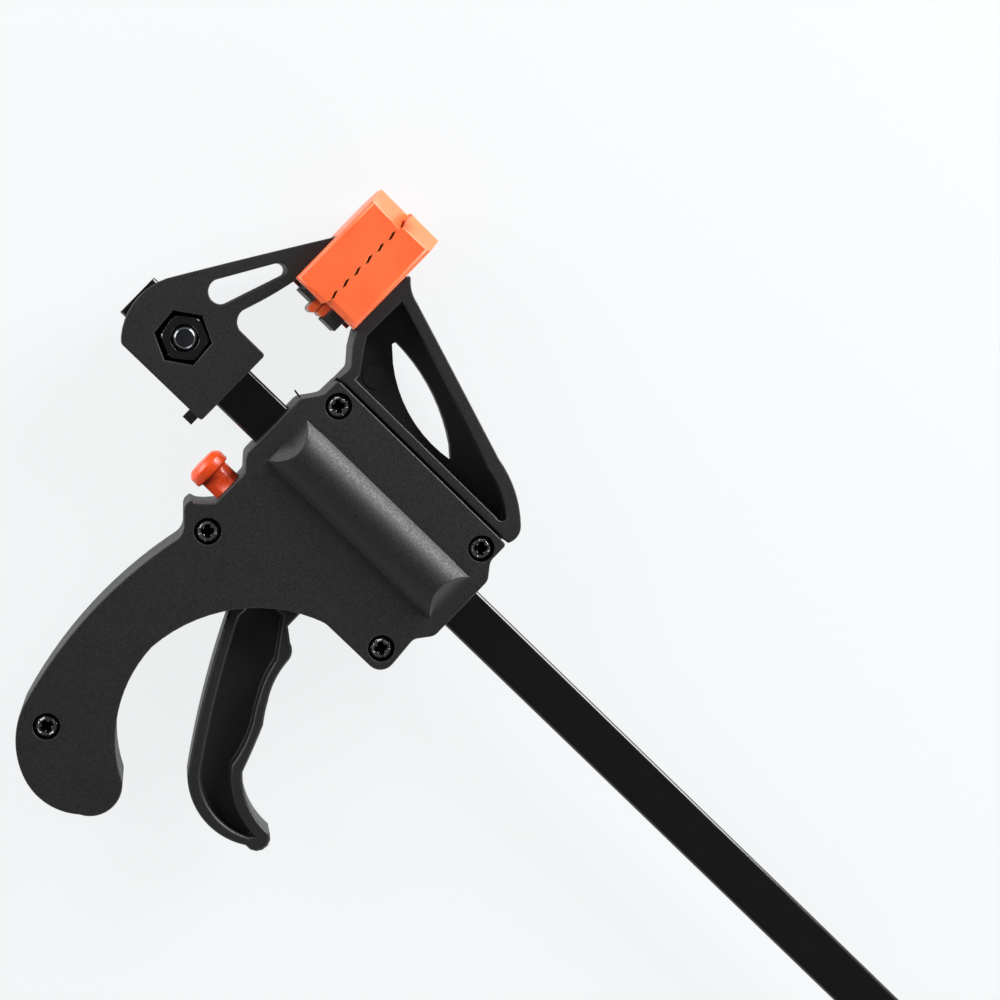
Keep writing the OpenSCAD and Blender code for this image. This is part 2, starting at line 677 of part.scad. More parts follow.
// The recess on each side of the trigger's web
module trigger_recess() {
    polygon(concat(
        [[16, -21.6]],
        arc3([15.8, -26.6], [22, -38.3], [29.6, -50.2]),
        arc3([29.6, -50.2], [35.8, -53.3], [43.6, -51.8]),
        arc3([43.4, -51.5], [37, -49.7], [32.2, -45.4]),
        arc3([32.2, -45.4], [31.2, -41], [29.6, -37.6], 8),
        arc3([29.6, -37.6], [28.6, -36], [27.4, -33.8], 6),
        arc3([27.4, -33.8], [25.8, -30], [25.1, -26.6], 8),
        [[23.4, -25], [21, -21.6]]));
}

module trigger() {
    z = trigger_w / 2;
    color("#242426") set_down() at_case() difference() {
        slab(-z, z) trigger_outline();
        slab(trigger_web / 2, trigger_w) trigger_recess();
        slab(-trigger_w, -trigger_web / 2) trigger_recess();
        translate([pivot.x, pivot.y, 0])
            cylinder(d = trigger_pin_d + 2 * pin_play, h = 2 * trigger_w, center = true);
    }
}

module trigger_pin() {
    color("#8b8d90") set_down() at_case() translate([pivot.x, pivot.y, 0])
        cylinder(d = trigger_pin_d, h = 2 * (case_z - pin_skin), center = true);
}

// ---- drive plates, brake plate and springs ----

spring_room_r = bar_w / 2 + spring_room;
plate_z = inner_z - loose;
mid_wall_x = nose.x - nose_r - loose - wall;
drive_x0 = nose.x + nose_r + fit;
drive_x1 = drive_x0 + 2 * plate_t + plate_gap;
brake_low = -floor_y - loose;
brake_seat_top = -button_drop + brake_spring_d / 2 + 1;

// Window of a plate around the bar, with its slack above and below the bar
module bar_window(slack) {
    cube([4 * plate_t, bar_w + 2 * slack, bar_t + 2 * fit], center = true);
}

module drive_plate(n) {
    x = drive_x0 + (n - 1) * (plate_t + plate_gap);
    color("#7d8085") set_down() at_case() translate([x, 0, 0]) difference() {
        translate([0, -drive_low, -plate_z]) cube([plate_t, drive_low + drive_top, 2 * plate_z]);
        bar_window(1.5 * fit);
    }
}

// Brake plate, leaning about its tilting edge against the rib at its upper end
module brake_plate() {
    window_y = -(brake_top - plate_t / 2 * sin(brake_lean)) / cos(brake_lean);
    color("#7d8085") set_down() at_case() translate([brake_x, brake_top, 0]) rotate(-brake_lean)
        difference() {
            translate([0, -brake_top - brake_low, -plate_z])
                cube([plate_t, brake_top + brake_low + 1, 2 * plate_z]);
            translate([0, window_y, 0]) bar_window(2 * fit);
        }
}

module drive_spring() {
    color("#b9bcc0") set_down() at_case()
        coil(drive_x1 + fit, guide_x - drive_x1 - 2 * fit, 2 * (spring_room_r - loose),
            drive_wire, drive_turns);
}

module brake_spring() {
    // the coil starts where the leaning plate's face is nearest to it
    x0 = brake_x + plate_t / cos(brake_lean) + fit
        - (brake_top + button_drop - brake_spring_d / 2) * tan(brake_lean);
    color("#b9bcc0") set_down() at_case() translate([0, -button_drop, 0])
        coil(x0, brake_seat_x - x0 - fit, brake_spring_d, brake_wire, brake_turns);
}

// ---- release button ----

module release_button() {
    // gap that is left behind the cap when it is pressed home
    pressed_gap = 1.9;
    face_x = -pressed_gap - button_travel - button_cap;
    bevel = 0.9;
    tip_d = 3;
    // the tip just misses the leaning plate at its lower edge
    tip_x = brake_x - (brake_top + button_drop + tip_d / 2) * tan(brake_lean) - fit;
    bar_x = wall + fit;
    color("#f04e1c") set_down() at_case() translate([0, -button_drop, 0]) {
        translate([face_x, 0, 0]) rotate([0, 90, 0])
            cylinder(d1 = button_d - 2 * bevel, d2 = button_d, h = bevel);
        along_x(face_x + bevel, button_cap - bevel) circle(d = button_d);
        along_x(face_x + bevel, bar_x + bevel - face_x - bevel) circle(d = button_stem_d);
        along_x(face_x + bevel, tip_x - face_x - bevel) circle(d = tip_d);
        translate([bar_x, -tip_d / 2, -button_bar_len / 2]) cube([bevel, tip_d, button_bar_len]);
    }
}

bar();
stop_pin();
fixed_jaw();
fixed_jaw_bolt();
fixed_jaw_nut();
fixed_jaw_pad();
rear_casing();
front_casing();
sliding_jaw_pad();
casing_screw(1);  // casing_screw_1
casing_screw(2);  // casing_screw_2
casing_screw(3);  // casing_screw_3
casing_screw(4);  // casing_screw_4
casing_screw(5);  // casing_screw_5
trigger();
trigger_pin();
drive_plate(1);  // drive_plate_1
drive_plate(2);  // drive_plate_2
drive_spring();
brake_plate();
brake_spring();
release_button();
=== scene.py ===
# %% [markdown]
# # A quick release bar clamp, dressed for its portrait
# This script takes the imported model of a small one-handed bar clamp and gives it its looks.
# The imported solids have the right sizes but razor-sharp edges and no finish. Each cell adds
# one thing: softened mouldings, the rubbery pads, the screws, then the materials and the light.
# Every mesh is in metres and stays exactly where its solid is.

# %% Load the frame
import math

import bmesh
import bpy
from mathutils import Matrix, Vector


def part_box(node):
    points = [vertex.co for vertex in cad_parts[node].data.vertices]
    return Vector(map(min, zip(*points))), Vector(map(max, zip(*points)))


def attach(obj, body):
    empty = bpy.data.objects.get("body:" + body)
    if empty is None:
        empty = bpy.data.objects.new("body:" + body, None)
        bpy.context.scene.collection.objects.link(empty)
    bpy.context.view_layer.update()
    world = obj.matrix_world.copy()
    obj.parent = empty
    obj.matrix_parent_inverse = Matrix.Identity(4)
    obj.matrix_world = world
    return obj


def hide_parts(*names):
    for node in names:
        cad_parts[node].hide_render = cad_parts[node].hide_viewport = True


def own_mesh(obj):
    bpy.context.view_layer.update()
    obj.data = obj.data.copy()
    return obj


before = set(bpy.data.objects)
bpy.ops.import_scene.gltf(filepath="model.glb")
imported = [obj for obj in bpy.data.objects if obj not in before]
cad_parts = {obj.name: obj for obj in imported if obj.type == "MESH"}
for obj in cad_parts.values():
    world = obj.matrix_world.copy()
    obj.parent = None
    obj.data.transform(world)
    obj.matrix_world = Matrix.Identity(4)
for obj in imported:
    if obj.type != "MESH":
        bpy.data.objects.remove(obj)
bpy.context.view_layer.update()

# %% [markdown]
# The drawing of the casing starts at its left wall, on the bar's centre line, halfway between
# its two faces. The trigger's pin lies 18.1 mm along and 14 mm below that point, so the
# middle of the pin's box tells where the casing's origin is in the shared frame.

# %% Units and the casing's origin
MM = 0.001
PIVOT = Vector((18.1, -14.0, 0.0))

low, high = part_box("trigger_pin")
ORIGIN = (low + high) / 2 - PIVOT * MM
print("casing origin, mm:", [round(c / MM, 2) for c in ORIGIN])


def at(x, y, z=0.0):
    """A point given in mm from the casing's origin, in metres in the shared frame."""
    return ORIGIN + Vector((x, y, z)) * MM


def level(z):
    """A height in mm above the middle plane, in metres in the shared frame."""
    return ORIGIN.z + z * MM


# %% [markdown]
# ## Softening a moulding
# No moulded edge is sharp: the tool leaves a radius of a few tenths of a millimetre, and that
# thin rounded line is what catches the light and tells the eye how big a thing is. A solid
# arrives as loose triangles, so a copy is welded by its doubles, its flat faces are joined by
# a limited dissolve, and only then are chosen edges bevelled. The bevel runs in passes, with
# the wide radii first, because a small neighbour would hold back a wide one.

# %% [markdown]
# A face can't have a hole in it: where a flat face has one, the dissolve leaves bridging edges
# from the hole to any corner of the outline, and a bevel that meets one there folds over. So
# the copy is first cut by a plane through each hole, and the cuts are marked as seams, which
# the dissolve respects. The bridges then lie where they do no harm.

# %% Copy a solid
WELD = 0.002                  # mm; a solid's corners closer than this are one corner
SNAP = 0.001                  # mm; the same for what cuts and bevels leave
FLAT = 0.6                    # degrees; two faces that turn less than this are one face


def copy_of(node, cuts=()):
    """The solid as a welded bmesh of whole faces. Each cut is an axis and a place in mm."""
    bm = bmesh.new()
    bm.from_mesh(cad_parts[node].data)
    bmesh.ops.remove_doubles(bm, verts=bm.verts, dist=WELD * MM)
    for axis, place in cuts:
        normal = Vector((1, 0, 0)) if axis == "x" else Vector((0, 1, 0))
        cut = bmesh.ops.bisect_plane(bm, geom=bm.verts[:] + bm.edges[:] + bm.faces[:],
                                     dist=SNAP * MM, plane_co=at(place, place),
                                     plane_no=normal)
        for part in cut["geom_cut"]:
            if isinstance(part, bmesh.types.BMEdge):
                part.seam = True
    bmesh.ops.dissolve_limit(bm, angle_limit=math.radians(FLAT), verts=bm.verts, edges=bm.edges,
                             use_dissolve_boundaries=False, delimit={"SEAM"})
    bm.normal_update()
    return bm


# %% Choose edges
HAIR = 0.01 * MM              # two heights that differ by less are the same height


def turn(edge):
    """The angle between an edge's two faces, in degrees."""
    return math.degrees(edge.calc_face_angle(0.0)) if len(edge.link_faces) == 2 else 0.0


def pick(bm, test, least=30.0):
    """Edges sharper than least degrees whose two ends pass the test, given as test(a, b)."""
    return [e for e in bm.edges if turn(e) > least and test(e.verts[0].co, e.verts[1].co)]


def in_plane(z):
    """A test for edges that lie in the plane z."""
    return lambda a, b: abs(a.z - z) < HAIR and abs(b.z - z) < HAIR


def upright(z0, z1):
    """A test for edges that stand along Z from z0 to z1."""
    def test(a, b):
        ends = sorted((a.z, b.z))
        return ((a.xy - b.xy).length < HAIR and abs(ends[0] - z0) < HAIR
                and abs(ends[1] - z1) < HAIR)
    return test


def reaches(edge, z):
    """True where one of the edge's faces has a corner at the height z."""
    return any(abs(v.co.z - z) < HAIR for f in edge.link_faces for v in f.verts)


# %% Round them
NARROWER = (0.35, 0.2)        # widths in mm for corners without room for the widest
CORNER_TURN = 18              # degrees; a blunter corner is part of a curve
ROOM = 2.4                    # a corner needs this many widths beside it
DIVIDER = 1.0                 # degrees; an edge that turns less only divides a face


def soften(bm, edges, width, segments=3):
    """Rounds these edges by a width in mm and says how many there were."""
    if edges:
        bmesh.ops.bevel(bm, geom=edges, offset=width * MM, offset_type="OFFSET",
                        segments=segments, profile=0.5, affect="EDGES", clamp_overlap=False,
                        material=-1, loop_slide=False)
        bmesh.ops.remove_doubles(bm, verts=bm.verts, dist=SNAP * MM)
    return len(edges)


def room(edge):
    """The length in mm of the shortest real edge that meets this one."""
    near = [e for v in edge.verts for e in v.link_edges if e != edge and turn(e) > DIVIDER]
    return min((e.calc_length() for e in near), default=0.0) / MM


def soften_corners(bm, z0, z1, widest):
    """Rounds the upright corners of an outline, each as wide as its neighbours leave room."""
    total = 0
    for width in (widest, *NARROWER):
        corners = [e for e in pick(bm, upright(z0, z1), CORNER_TURN) if room(e) > ROOM * width]
        total += soften(bm, corners, width)
    return total


# %% Write a piece
def finish_piece(bm, name, body, replaced=(), smooth=40.0):
    """Writes a bmesh to a new object that rides on a body and stands for some solids.

    Edges that turn more than smooth degrees stay sharp in the shading.
    """
    mesh = bpy.data.meshes.new(name)
    bm.normal_update()
    bm.to_mesh(mesh)
    bm.free()
    mesh.shade_smooth()
    mesh.set_sharp_from_angle(angle=math.radians(smooth))
    piece = bpy.data.objects.new(name, mesh)
    bpy.context.scene.collection.objects.link(piece)
    even = piece.modifiers.new("even_normals", "WEIGHTED_NORMAL")
    even.keep_sharp = True
    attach(piece, body)
    if replaced:
        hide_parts(*replaced)
    print(f"{name}: {len(mesh.polygons)} faces on {body}")
    return piece


# %% [markdown]
# ## The casing
# The casing is a clamshell: two moulded halves that meet in the bar's middle plane, held by
# five screws. The front half carries the counterbores. Its outline gets the widest radius, the
# counterbores a narrow one, and the parting edge a tiny chamfer on both halves, so that the
# joint shows on the sides as the fine dark line that every clamshell has.

# %% Sizes on the casing, in mm
CASE_Z = 7.5                  # from the middle plane to the cover's face
RIM = 0.24                    # round of the outlines
CASE_CORNER = 0.6             # widest round of an upright corner
FINE = 0.1                    # counterbores, parting edge and the bulge's ridges
BULGE_FOOT = 0.18             # fillet where the bulge meets the face
BULGE_HALF = 5.5              # the bulge lies within this distance of the bar's centre line
BULGE_ENDS = (0.5, 38.8)      # and between these places along it
LONG = 20                     # the bulge's two feet are longer than this
COUNTERBORE_REACH = 2.6       # from a screw's axis to just past its counterbore
FACET = 12                    # degrees; edges of the bulge are as blunt as this

SPOTS = [sum(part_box(f"casing_screw_{n}"), Vector()) / 2 for n in range(1, 6)]
print("screws at, mm:", [[round(c / MM, 1) for c in (s - ORIGIN).xy] for s in SPOTS])


# %% Soften a casing half
def near_screw(p):
    """True close to one of the five screws."""
    return any((p.xy - s.xy).length < COUNTERBORE_REACH * MM for s in SPOTS)


def is_bulge(p):
    """True on the half round bulge's foot, which lies along the bar."""
    start, end = BULGE_ENDS
    return (abs(p.y - ORIGIN.y) < BULGE_HALF * MM
            and start * MM < p.x - ORIGIN.x < end * MM)


def soften_half(bm, sign):
    """Rounds one casing half; sign is 1 for the front half and -1 for the rear one."""
    face, middle = level(sign * CASE_Z), level(0)
    counts = [soften_corners(bm, *sorted((face, middle)), CASE_CORNER)]
    outline = [e for e in pick(bm, in_plane(face))
               if not near_screw(e.verts[0].co) and not is_bulge(e.verts[0].co)]
    counts.append(soften(bm, outline, RIM))
    bores = [e for e in pick(bm, in_plane(face)) if near_screw(e.verts[0].co)]
    counts.append(soften(bm, bores, FINE, 2))
    parting = [e for e in pick(bm, in_plane(middle)) if reaches(e, level(sign * (CASE_Z - RIM)))]
    counts.append(soften(bm, parting, FINE, 1))
    ridges = [e for e in pick(bm, lambda a, b: is_bulge(a) and is_bulge(b), FACET)
              if max(sign * (v.co.z - face) for v in e.verts) > HAIR]
    counts.append(soften(bm, ridges, FINE, 1))
    feet = [e for e in pick(bm, lambda a, b: is_bulge(a) and is_bulge(b) and in_plane(face)(a, b),
                            FACET) if e.calc_length() > LONG * MM]
    counts.append(soften(bm, feet, BULGE_FOOT, 2))
    return counts


# %% Front half
FRONT_CUTS = [("y", 0), ("x", 3.9), ("x", 35.2), ("y", -61)]    # the bulge and the screws' holes

bm = copy_of("front_casing", FRONT_CUTS)
print("front half, edges rounded:", soften_half(bm, 1))
front_half = finish_piece(bm, "casing_front_half", "casing", ["front_casing"])

# %% [markdown]
# The rear half has no counterbores, but carries the sliding jaw: an I-beam of a thin web
# between thick rims, with a leaf-shaped opening. The rims are rounded like the outline, the
# foot of the web gets a fillet, as a moulder would give it to help the plastic flow.

# %% Rear half and sliding jaw
JAW_Z = 6.5                   # from the middle plane to a jaw's faces, in mm
WEB_Z = 1.5                   # from the middle plane to a web's faces
JAW_CORNER = 0.5              # widest round of a jaw's upright corner
JAW_FOOT = 12.95              # the jaw grows out of the casing's top at this height
WEB_FILLET = 0.2              # round of the edges that lie in a web's face
REAR_CUTS = [("y", 0), ("x", 14.4)]    # the bulge and the leaf-shaped opening

bm = copy_of("rear_casing", REAR_CUTS)
print("rear half, edges rounded:", soften_half(bm, -1))
print("jaw corners:", soften_corners(bm, level(-JAW_Z), level(JAW_Z), JAW_CORNER))
foot = at(0, JAW_FOOT).y
for z in (JAW_Z, -JAW_Z):
    rims = [e for e in pick(bm, in_plane(level(z))) if max(v.co.y for v in e.verts) > foot]
    print("jaw rim:", soften(bm, rims, RIM))
for z in (WEB_Z, -WEB_Z):
    print("web:", soften(bm, pick(bm, in_plane(level(z))), WEB_FILLET, 2))
rear_half = finish_piece(bm, "casing_rear_half", "casing", ["rear_casing"])

# %% [markdown]
# A mould leaves traces. Where a pin pushed the jaw out, the web has a round mark that stands
# a hair proud, and at the guide's corner a sliver of flash has squeezed out of the parting line.
# Both are tiny, and both say that this is a real moulding.

# %% Ejector mark
MARK_AT = (4.4, 17.8)         # mm from the casing's origin
MARK_FOOT, MARK_TOP = 2.15, 2.05    # its radii in mm
MARK_DEPTH, MARK_RISE = 0.14, 0.04  # its height, and how far its middle is above the web's face

bm = bmesh.new()
bmesh.ops.create_cone(bm, cap_ends=True, segments=48, radius1=MARK_FOOT * MM,
                      radius2=MARK_TOP * MM, depth=MARK_DEPTH * MM)
bmesh.ops.translate(bm, verts=bm.verts, vec=at(*MARK_AT, WEB_Z + MARK_RISE))
mark = finish_piece(bm, "jaw_ejector_mark", "casing")

# %% Flash
FLASH_SIZE = (1.5, 0.3, 0.4)  # mm
FLASH_AT = (-2.8, 6.7, -0.2)  # its middle, in mm from the casing's origin
FLASH_TURN = -10              # degrees

bm = bmesh.new()
bmesh.ops.create_cube(bm, size=MM)
bmesh.ops.scale(bm, verts=bm.verts, vec=FLASH_SIZE)
bmesh.ops.rotate(bm, verts=bm.verts, matrix=Matrix.Rotation(math.radians(FLASH_TURN), 3, "Z"))
bmesh.ops.translate(bm, verts=bm.verts, vec=at(*FLASH_AT))
flash = finish_piece(bm, "guide_flash_sliver", "casing")

# %% [markdown]
# ## The fixed jaw
# The fixed jaw is one solid moulding on the bar's end. Its bolt clamps it to the bar, and the
# nut sits a little askew in a roomy hexagonal pocket. The tapered slot saves plastic and keeps
# the wall even, so the moulding doesn't sink. Its corners stay narrow, because the stub that
# the moulding gate left stands close to one of them.

# %% Fixed jaw
FIXED_CUTS = [("x", -22.9), ("x", -13.6), ("y", 0)]    # the nut's pocket, the stub, the tunnel

bm = copy_of("fixed_jaw", FIXED_CUTS)
print("corners:", soften_corners(bm, level(-JAW_Z), level(JAW_Z), JAW_CORNER))
for z in (JAW_Z, -JAW_Z):
    print("rim:", soften(bm, pick(bm, in_plane(level(z))), RIM))
fixed_jaw = finish_piece(bm, "fixed_jaw_moulding", "bar_and_jaw", ["fixed_jaw"])

# %% [markdown]
# ## The trigger
# The trigger is a hooked lever of the same I-beam build as the sliding jaw. Fingers pull on
# its front edge, so its rims are rounder than those of the casing.

# %% Trigger
TRIGGER_Z = 4.5               # from the middle plane to its rims, in mm
TRIGGER_RIM = 0.5             # round of its outlines
TRIGGER_FILLET = 0.3          # round of the edges that lie in its web's faces

bm = copy_of("trigger", [("x", PIVOT.x)])
for z in (TRIGGER_Z, -TRIGGER_Z):
    print("rim:", soften(bm, pick(bm, in_plane(level(z))), TRIGGER_RIM))
for z in (WEB_Z, -WEB_Z):
    print("web:", soften(bm, pick(bm, in_plane(level(z))), TRIGGER_FILLET, 2))
trigger = finish_piece(bm, "trigger_moulding", "trigger_lever", ["trigger"])

# %% [markdown]
# ## The pads
# The pads are soft plastic caps, pushed on to the jaws' tongues. Their long back edges and
# the lower edge of each cheek have a wide round, the slanted shoulders a narrow one, and the
# teeth stay crisp, because they are what grips.

# %% Dress a pad
SHOULDER_DROP = 3.2           # the slanted shoulders lie within this of the pad's top, in mm
SHOULDER_ROUND = 0.3
TAB_ROUND = 0.5               # round of the tab that hangs under the teeth


def both(a, b, axis, place):
    """True where the ends of an edge lie at one place along an axis."""
    return abs(a[axis] - place) < HAIR and abs(b[axis] - place) < HAIR


def dress_pad(node, name, body, back_low, back_round, cut):
    """Rounds a pad, whose back is at low X if back_low. The cut is through its socket, in mm."""
    lo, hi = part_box(node)
    back = lo.x if back_low else hi.x
    top = hi.y - SHOULDER_DROP * MM
    # The lowest corners are the tab's, and the next height up is the pad's own bottom.
    heights = sorted({round(v.co.y, 6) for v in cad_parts[node].data.vertices})
    bottom = heights[1]

    def on_cheek(p):
        return abs(p.z - lo.z) < HAIR or abs(p.z - hi.z) < HAIR

    bm = copy_of(node, [("x", cut)])
    cheeks = pick(bm, lambda a, b: on_cheek(a) and abs(a.z - b.z) < HAIR
                  and (both(a, b, 0, back) or both(a, b, 1, bottom)))
    counts = [soften(bm, cheeks, back_round, 4)]
    shoulders = pick(bm, lambda a, b: min(a.y, b.y) > top and abs(a.y - b.y) < HAIR
                     and abs(a.z - b.z) < HAIR)
    counts.append(soften(bm, shoulders, SHOULDER_ROUND, 2))
    counts.append(soften(bm, pick(bm, lambda a, b: max(a.y, b.y) < bottom - HAIR), TAB_ROUND, 3))
    print(name, "edges rounded:", counts, "bottom at", round(bottom / MM, 2))
    return finish_piece(bm, name, body, [node], smooth=35)


# %% Two pads
fixed_pad = dress_pad("fixed_jaw_pad", "fixed_pad_soft", "bar_and_jaw", True,
                      back_round=0.75, cut=-13.4)
sliding_pad = dress_pad("sliding_jaw_pad", "sliding_pad_soft", "casing", False,
                        back_round=1.15, cut=-7.4)

# %% [markdown]
# ## Bar, bolt, nut and screws
# These are bought-in steel pieces with small machined or rolled edges. A glint along such an
# edge is most of what shows of a black screw.

# %% Steel pieces
def dress_steel(node, name, body, width, segments=2, least=30.0, shortest=0.0):
    """Rounds the edges of a steel piece that are sharper than least degrees and not tiny."""
    bm = copy_of(node)
    count = soften(bm, pick(bm, lambda a, b: (a - b).length > shortest * MM, least), width,
                   segments)
    print(name, "edges rounded:", count)
    return finish_piece(bm, name, body, [node], smooth=26)


bar = dress_steel("bar", "bar_steel_flat", "bar_and_jaw", width=0.12)
nut = dress_steel("fixed_jaw_nut", "jaw_nut_hex", "bar_and_jaw", width=0.06,
                  least=20, shortest=0.3)
bolt = dress_steel("fixed_jaw_bolt", "jaw_bolt_round", "bar_and_jaw", width=0.12)
screws = [dress_steel(f"casing_screw_{n}", f"cover_screw_{n}", "casing",
                      width=0.09, least=42) for n in range(1, 6)]

# %% Release button
BUTTON_ROUND = 0.3
OUTSIDE = -0.5                # the button shows left of this place, in mm

bm = copy_of("release_button")
shown = pick(bm, lambda a, b: max(a.x, b.x) < at(OUTSIDE, 0).x)
print("button edges:", soften(bm, shown, BUTTON_ROUND, 3))
button = finish_piece(bm, "release_button_cap", "button", ["release_button"])

# %% [markdown]
# The two coil springs lie inside the casing and show only where it is opened up. A spring
# shortens when its plate is pushed: its far end stays on the casing, and its near end follows
# the plate. Each gets a welded copy of its own on the casing.

# %% Springs
def dress_spring(node, name):
    """A welded copy of a spring on the casing, with a mesh of its own."""
    spring = finish_piece(copy_of(node), name, "casing", [node], smooth=50)
    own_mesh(spring)
    return spring


springs = [dress_spring("drive_spring", "drive_coil_spring"),
           dress_spring("brake_spring", "brake_coil_spring")]

# %% [markdown]
# ## Helpers for finishes
# A colour is written as people write it, as an sRGB hex value, and turned to the linear
# numbers that the renderer works with. One small function adds a node to a material's tree
# with its settings and its links. A Mix node has sockets of the same name for numbers, vectors
# and colours, so its colour sockets are found by their places, which get names here.

# %% Colour and node helpers
FACTOR, FIRST, SECOND, MIXED = 0, 6, 7, 2
NOISE_LOW, NOISE_HIGH = 0.3, 0.7    # a noise texture seldom leaves this range


def linear(hex_colour):
    """An sRGB hex colour as linear RGBA."""
    parts = [int(hex_colour[i:i + 2], 16) / 255 for i in (1, 3, 5)]
    return tuple(c / 12.92 if c <= 0.04045 else ((c + 0.055) / 1.055) ** 2.4
                 for c in parts) + (1.0,)


def add_node(tree, kind, inputs=None, **settings):
    """Adds a node. inputs maps a socket's name or number to a value or to a socket to link."""
    made = tree.nodes.new(kind)
    for key, value in settings.items():
        setattr(made, key, value)
    for key, value in (inputs or {}).items():
        if isinstance(value, bpy.types.NodeSocket):
            tree.links.new(value, made.inputs[key])
        else:
            made.inputs[key].default_value = value
    return made


def new_finish(name):
    """A new material with its tree, its shader and its object coordinates."""
    finish = bpy.data.materials.new(name)
    finish.use_nodes = True
    tree = finish.node_tree
    place = add_node(tree, "ShaderNodeTexCoord").outputs["Object"]
    return finish, tree, tree.nodes["Principled BSDF"], place


def coat(finish, *pieces):
    """Gives a finish to pieces as their only material."""
    for piece in pieces:
        piece.data.materials.clear()
        piece.data.materials.append(finish)
    print(f"{finish.name}: on {', '.join(piece.name for piece in pieces)}")


# %% [markdown]
# ## Glass-filled nylon from a spark-eroded mould
# The casing and jaws are black nylon with glass fibre. The mould's faces are spark-eroded,
# which leaves a grain of a tenth of a millimetre or two, drawn here about twice as coarse so
# that it shows. The grain breaks up the sheen: a lit flank looks like fine sandpaper while a
# face that looks at the dark room stays charcoal. The trigger comes from a finer mould.

# %% Moulded nylon
FLOW_MM = 9                   # the colour drifts over this distance
GLOSSIER, DULLER = 0.08, 0.1  # the grain takes the roughness this far down and up


def moulded(name, dark, light, rough, grain_mm, depth):
    """A moulded plastic with a spark-eroded grain and slight flow marks in its colour."""
    finish, tree, shader, place = new_finish(name)
    grain = add_node(tree, "ShaderNodeTexNoise", {"Vector": place, "Scale": 1 / (grain_mm * MM),
                                                  "Detail": 2.0, "Roughness": 0.6})
    flow = add_node(tree, "ShaderNodeTexNoise", {"Vector": place, "Scale": 1 / (FLOW_MM * MM),
                                                 "Detail": 3.0, "Distortion": 0.6})
    colour = add_node(tree, "ShaderNodeMix", {FACTOR: flow.outputs[0], FIRST: linear(dark),
                                              SECOND: linear(light)}, data_type="RGBA")
    sheen = add_node(tree, "ShaderNodeMapRange", {"Value": grain.outputs[0],
                                                  "From Min": NOISE_LOW, "From Max": NOISE_HIGH,
                                                  "To Min": rough - GLOSSIER,
                                                  "To Max": rough + DULLER})
    bump = add_node(tree, "ShaderNodeBump", {"Height": grain.outputs[0], "Strength": 0.5,
                                             "Distance": depth * MM})
    tree.links.new(colour.outputs[MIXED], shader.inputs["Base Color"])
    tree.links.new(sheen.outputs[0], shader.inputs["Roughness"])
    tree.links.new(bump.outputs[0], shader.inputs["Normal"])
    shader.inputs["IOR"].default_value = 1.5    # nylon has 1.53 and polypropylene 1.49
    return finish


nylon = moulded("glass_filled_nylon_spark_eroded", "#070709", "#141416",
                rough=0.55, grain_mm=0.36, depth=0.04)
coat(nylon, front_half, rear_half, fixed_jaw, mark, flash)
trigger_nylon = moulded("nylon_fine_moulded", "#131415", "#18191A",
                        rough=0.47, grain_mm=0.2, depth=0.015)
coat(trigger_nylon, trigger)

# %% [markdown]
# ## Soft vinyl
# The pads are flexible vinyl, slightly see-through: light enters, scatters a millimetre or
# two and comes out warmer, so thin edges glow and the middle is deeper. Subsurface scattering
# with a long red reach does that. The tint drifts a little, and the skin has soft dimples.

# %% Soft pads
TINT_MM = 7                   # the tint drifts over this distance
DIMPLE_MM = 0.6               # from one dimple to the next
DIMPLE_DEPTH = 0.02           # mm

vinyl, tree, shader, place = new_finish("flexible_vinyl_orange_moulded")
cloud = add_node(tree, "ShaderNodeTexNoise", {"Vector": place, "Scale": 1 / (TINT_MM * MM),
                                              "Detail": 2.0})
tint = add_node(tree, "ShaderNodeMix", {FACTOR: cloud.outputs[0], FIRST: linear("#EA5A28"),
                                        SECOND: linear("#EE7344")}, data_type="RGBA")
skin = add_node(tree, "ShaderNodeTexNoise", {"Vector": place, "Scale": 1 / (DIMPLE_MM * MM)})
dimple = add_node(tree, "ShaderNodeBump", {"Height": skin.outputs[0], "Strength": 0.2,
                                           "Distance": DIMPLE_DEPTH * MM})
tree.links.new(tint.outputs[MIXED], shader.inputs["Base Color"])
tree.links.new(dimple.outputs[0], shader.inputs["Normal"])
shader.inputs["Roughness"].default_value = 0.38
shader.inputs["Subsurface Weight"].default_value = 0.35
shader.inputs["Subsurface Radius"].default_value = (1.0, 0.4, 0.15)
shader.inputs["Subsurface Scale"].default_value = 1.6 * MM
coat(vinyl, fixed_pad, sliding_pad)

# %% [markdown]
# The button is hard polypropylene from a polished mould: the same recipe as the nylon, but
# bright, glossy and with a long, shallow wave in place of a grain.

# %% Glossy button
button_pp = moulded("polypropylene_red_orange_moulded", "#F0431A", "#FA5520",
                    rough=0.28, grain_mm=0.8, depth=0.01)
coat(button_pp, button)

# %% [markdown]
# ## Steels
# The bar is flat steel, drawn through a die and then painted gloss black, so faint lines run
# along it under a smooth skin. They are drawn 0.3 mm apart, coarser than they are, so that
# they show. The nut is blackened by heat and oil. The bolt and the screws are black zinc
# plated, which stays a mirror, but a dark one. The pins are ground, and the plates and springs
# are hardened steel with a film of oil.

# %% Steel
STAIN_MM = 4                  # colour and gloss drift over this distance
GLOSSIEST, DULLEST = 0.8, 1.25    # roughness is taken this many times


